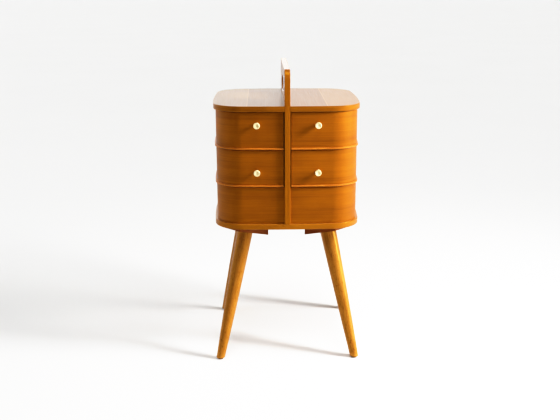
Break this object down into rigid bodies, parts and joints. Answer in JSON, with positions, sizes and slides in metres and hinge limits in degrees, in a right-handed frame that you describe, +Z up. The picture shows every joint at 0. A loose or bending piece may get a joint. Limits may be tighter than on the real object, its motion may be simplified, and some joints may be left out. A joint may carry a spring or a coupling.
{
  "type": "sewing box",
  "caption": "Free-standing sewing box on splayed legs: swing-out trays over open bins on both sides of a panel with a carrying handle.",
  "frame": {"origin": "on the floor, under the middle of the body's plan; the knobs stand about 6 mm further forward than the boards, so the middle of the bounding box is about 3 mm in front of the origin", "axes": "+Z up; the knobs and the trays' fronts face -Y; +X to the right seen from the front; the handle panel lies in the YZ plane"},
  "size_m": [0.32, 0.3264, 0.641],
  "materials": {
    "base_veneer": "veneered board, amber lacquer",
    "panel_veneer": "veneered board, amber lacquer",
    "top_veneer": "cherry veneer, satin gloss lacquer",
    "block_beech": "stained beech",
    "bent_ply_veneer": "bent plywood, cherry veneer, amber lacquer",
    "bright_steel": "bright drawn steel",
    "washer_nylon": "natural nylon",
    "leg_beech": "turned beech, amber lacquer",
    "zinc_plated_steel": "zinc plated",
    "glide_plastic": "dark brown moulded plastic",
    "tray_side_ply": "plywood, lacquered",
    "tray_bottom_ply": "plywood with lacquered edge",
    "knob_plastic": "moulded cream plastic, slightly yellowed"
  },
  "bodies": {
    "frame": {"base_board": "base_veneer", "handle_panel": "panel_veneer", "top_board_left": "top_veneer", "top_board_right": "top_veneer", "top_board_dowels": "block_beech", "bin_wall_left": "bent_ply_veneer", "bin_wall_right": "bent_ply_veneer", "bin_pivot_block_left": "block_beech", "bin_pivot_block_right": "block_beech", "pivot_rod_left": "bright_steel", "pivot_rod_right": "bright_steel", "pivot_washers": "washer_nylon", "leg_block_front_left": "block_beech", "leg_block_front_right": "block_beech", "leg_block_rear_left": "block_beech", "leg_block_rear_right": "block_beech", "leg_front_left": "leg_beech", "leg_front_right": "leg_beech", "leg_rear_left": "leg_beech", "leg_rear_right": "leg_beech", "leg_bolts": "zinc_plated_steel", "foot_glides": "glide_plastic", "panel_screws": "zinc_plated_steel", "leg_block_screws": "zinc_plated_steel"},
    "middle_tray_left": {"middle_tray_wall_left": "bent_ply_veneer", "middle_tray_inner_side_left": "tray_side_ply", "middle_tray_bottom_left": "tray_bottom_ply", "middle_tray_pivot_block_left": "block_beech", "middle_tray_knob_left": "knob_plastic", "middle_tray_knob_screw_left": "zinc_plated_steel"},
    "middle_tray_right": {"middle_tray_wall_right": "bent_ply_veneer", "middle_tray_inner_side_right": "tray_side_ply", "middle_tray_bottom_right": "tray_bottom_ply", "middle_tray_pivot_block_right": "block_beech", "middle_tray_knob_right": "knob_plastic", "middle_tray_knob_screw_right": "zinc_plated_steel"},
    "upper_tray_left": {"upper_tray_wall_left": "bent_ply_veneer", "upper_tray_inner_side_left": "tray_side_ply", "upper_tray_bottom_left": "tray_bottom_ply", "upper_tray_pivot_block_left": "block_beech", "upper_tray_knob_left": "knob_plastic", "upper_tray_knob_screw_left": "zinc_plated_steel"},
    "upper_tray_right": {"upper_tray_wall_right": "bent_ply_veneer", "upper_tray_inner_side_right": "tray_side_ply", "upper_tray_bottom_right": "tray_bottom_ply", "upper_tray_pivot_block_right": "block_beech", "upper_tray_knob_right": "knob_plastic", "upper_tray_knob_screw_right": "zinc_plated_steel"}
  },
  "joints": [
    {"name": "middle_tray_left_swing", "type": "hinge", "parent": "frame", "child": "middle_tray_left", "pos_m": [-0.12394, 0.12394, 0.434], "axis": [0, 0, -1], "range_deg": [0, 90]},
    {"name": "middle_tray_right_swing", "type": "hinge", "parent": "frame", "child": "middle_tray_right", "pos_m": [0.12394, 0.12394, 0.434], "axis": [0, 0, 1], "range_deg": [0, 90]},
    {"name": "upper_tray_left_swing", "type": "hinge", "parent": "frame", "child": "upper_tray_left", "pos_m": [-0.12394, 0.12394, 0.514], "axis": [0, 0, -1], "range_deg": [0, 90]},
    {"name": "upper_tray_right_swing", "type": "hinge", "parent": "frame", "child": "upper_tray_right", "pos_m": [0.12394, 0.12394, 0.514], "axis": [0, 0, 1], "range_deg": [0, 90]}
  ]
}
